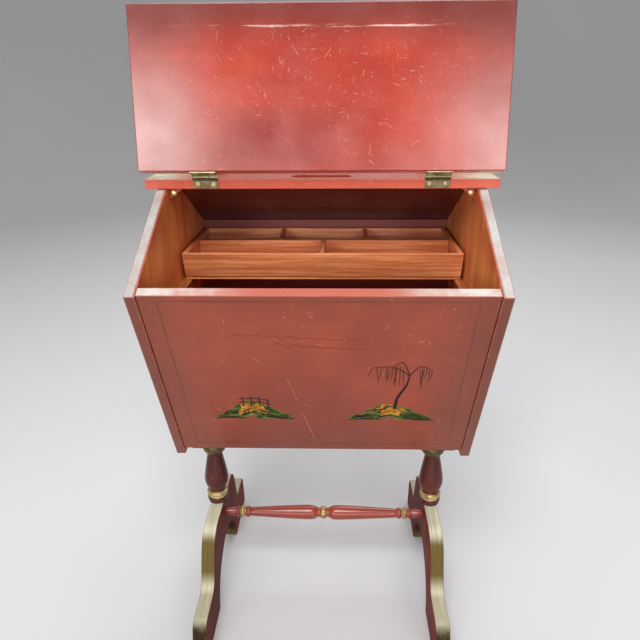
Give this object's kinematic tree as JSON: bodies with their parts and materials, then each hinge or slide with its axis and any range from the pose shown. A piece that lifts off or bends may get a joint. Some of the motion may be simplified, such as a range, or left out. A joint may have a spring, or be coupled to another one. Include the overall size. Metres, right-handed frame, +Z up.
{
  "type": "sewing table",
  "caption": "Small trestle sewing table: gable-topped box with two hinged lids and a sliding divided tray, on turned posts and scroll-cut feet.",
  "frame": {"origin": "centre of the overall bounding box, at floor level under the feet", "axes": "+Z up, +X along the ridge rail and the hinge lines, the front (the side of the open lid) faces -Y"},
  "size_m": [0.357, 0.3165, 0.6672],
  "materials": {
    "red_lacquer": "glossy brick-red lacquer, scratched and worn at the edges",
    "red_and_gilt": "brick-red lacquer with rubbed gold-bronze rings and board edges",
    "natural_wood": "satin orange-brown varnished softwood",
    "brass": "dull aged brass"
  },
  "bodies": {
    "stand": {"bottom_board": "natural_wood", "front_left_hinge_pin": "brass", "front_left_hinge_rail_leaf": "brass", "front_left_hinge_rail_screw_1": "brass", "front_left_hinge_rail_screw_2": "brass", "front_panel": "red_lacquer", "front_right_hinge_pin": "brass", "front_right_hinge_rail_leaf": "brass", "front_right_hinge_rail_screw_1": "brass", "front_right_hinge_rail_screw_2": "brass", "left_block_screw": "brass", "left_cleat": "red_lacquer", "left_end_panel": "red_lacquer", "left_foot": "red_and_gilt", "left_post": "red_and_gilt", "left_rail_block": "red_lacquer", "left_tray_runner": "natural_wood", "rear_left_hinge_pin": "brass", "rear_left_hinge_rail_leaf": "brass", "rear_left_hinge_rail_screw_1": "brass", "rear_left_hinge_rail_screw_2": "brass", "rear_panel": "red_lacquer", "rear_right_hinge_pin": "brass", "rear_right_hinge_rail_leaf": "brass", "rear_right_hinge_rail_screw_1": "brass", "rear_right_hinge_rail_screw_2": "brass", "ridge_rail": "red_lacquer", "right_block_screw": "brass", "right_cleat": "red_lacquer", "right_end_panel": "red_lacquer", "right_foot": "red_and_gilt", "right_post": "red_and_gilt", "right_rail_block": "red_lacquer", "right_tray_runner": "natural_wood", "stretcher": "red_and_gilt"},
    "front_lid": {"front_left_hinge_lid_leaf": "brass", "front_left_hinge_lid_screw_1": "brass", "front_left_hinge_lid_screw_2": "brass", "front_lid": "red_lacquer", "front_right_hinge_lid_leaf": "brass", "front_right_hinge_lid_screw_1": "brass", "front_right_hinge_lid_screw_2": "brass"},
    "rear_lid": {"rear_left_hinge_lid_leaf": "brass", "rear_left_hinge_lid_screw_1": "brass", "rear_left_hinge_lid_screw_2": "brass", "rear_lid": "red_lacquer", "rear_right_hinge_lid_leaf": "brass", "rear_right_hinge_lid_screw_1": "brass", "rear_right_hinge_lid_screw_2": "brass"},
    "tray": {"tray_back": "natural_wood", "tray_bottom": "natural_wood", "tray_front": "natural_wood", "tray_front_divider": "natural_wood", "tray_left_side": "natural_wood", "tray_long_divider": "natural_wood", "tray_rear_divider_left": "natural_wood", "tray_rear_divider_right": "natural_wood", "tray_right_side": "natural_wood"}
  },
  "joints": [
    {"name": "front_lid_hinge", "type": "hinge", "parent": "stand", "child": "front_lid", "pos_m": [0, -0.02523, 0.51089], "axis": [1, 0, 0], "range_deg": [0, 124]},
    {"name": "rear_lid_hinge", "type": "hinge", "parent": "stand", "child": "rear_lid", "pos_m": [0, 0.02523, 0.51089], "axis": [1, 0, 0], "range_deg": [0, 124]},
    {"name": "tray_slide", "type": "slide", "parent": "stand", "child": "tray", "axis": [0, 1, 0], "range_m": [-0.136, 0]}
  ]
}
